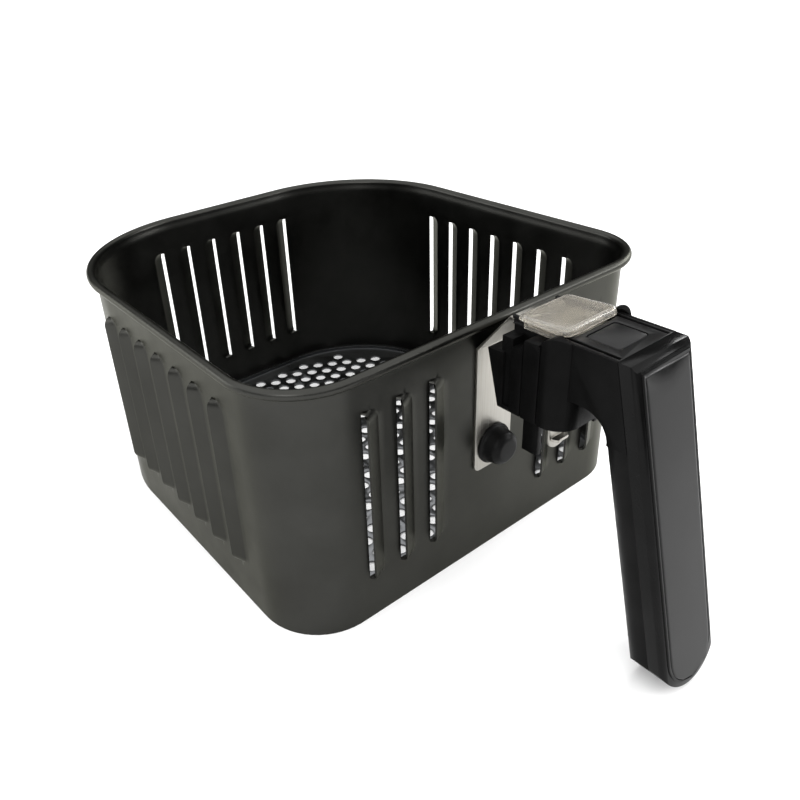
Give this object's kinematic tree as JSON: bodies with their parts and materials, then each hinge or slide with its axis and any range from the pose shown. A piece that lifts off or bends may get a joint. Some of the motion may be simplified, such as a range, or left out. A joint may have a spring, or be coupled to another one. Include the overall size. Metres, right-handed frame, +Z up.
{
  "type": "air fryer basket",
  "caption": "Removable louvred basket with a perforated floor, and an upright handle with a release button, its sliding guard and a sprung latch.",
  "frame": {"origin": "centre of the flat underside, on the surface that the basket stands on", "axes": "+X to the right, +Y away from the handle, +Z up; the handle points along -Y"},
  "size_m": [0.2142, 0.3185, 0.1319],
  "materials": {
    "wall_coating": "satin black non-stick coating on pressed steel",
    "floor_coating": "satin dark grey non-stick coating on perforated steel",
    "brushed_steel": "stainless steel brushed along its length",
    "plain_steel": "plain turned steel",
    "bumper_rubber": "black moulded silicone rubber",
    "housing_plastic": "fine-textured black moulding",
    "handle_plastic": "smooth black moulding with a soft sheen",
    "cover_plastic": "smooth black moulding, glossier than the rest of the handle",
    "panel_plastic": "polished black inlay",
    "deck_plastic": "fine-textured black moulding",
    "button_plastic": "smooth black moulding",
    "spring_steel": "bright drawn spring wire",
    "clear_guard": "clear, lightly smoked plastic",
    "lever_plastic": "smooth black moulding",
    "screw_steel": "zinc-plated screws"
  },
  "bodies": {
    "basket": {"basket_wall": "wall_coating", "basket_floor": "floor_coating", "bracket_plate": "brushed_steel", "bumper_stud": "plain_steel", "rubber_bumper": "bumper_rubber", "latch_housing": "housing_plastic", "handle_body": "handle_plastic", "grip_cover": "cover_plastic", "grip_panel": "panel_plastic", "top_deck": "deck_plastic", "pivot_pin": "plain_steel", "bracket_screws": "screw_steel", "cover_screws": "screw_steel", "button_spring": "spring_steel", "lever_spring": "spring_steel"},
    "guard": {"slide_guard": "clear_guard"},
    "button": {"release_button": "button_plastic"},
    "lever": {"latch_lever": "lever_plastic", "latch_hook": "brushed_steel", "hook_rivet": "plain_steel"}
  },
  "joints": [
    {"name": "guard_slide", "type": "slide", "parent": "basket", "child": "guard", "axis": [0, -1, 0], "range_m": [0, 0.0195]},
    {"name": "button_press", "type": "slide", "parent": "basket", "child": "button", "axis": [0, 0, -1], "range_m": [0, 0.0025], "stiffness_N_per_m": 600, "deforming": ["button_spring"]},
    {"name": "latch_hinge", "type": "hinge", "parent": "basket", "child": "lever", "pos_m": [0, -0.1433, 0.1135], "axis": [1, 0, 0], "range_deg": [0, 9.5]}
  ],
  "couplings": [
    {"joint": "latch_hinge", "follows": "button_press", "rad_per_m": 60.6}
  ]
}
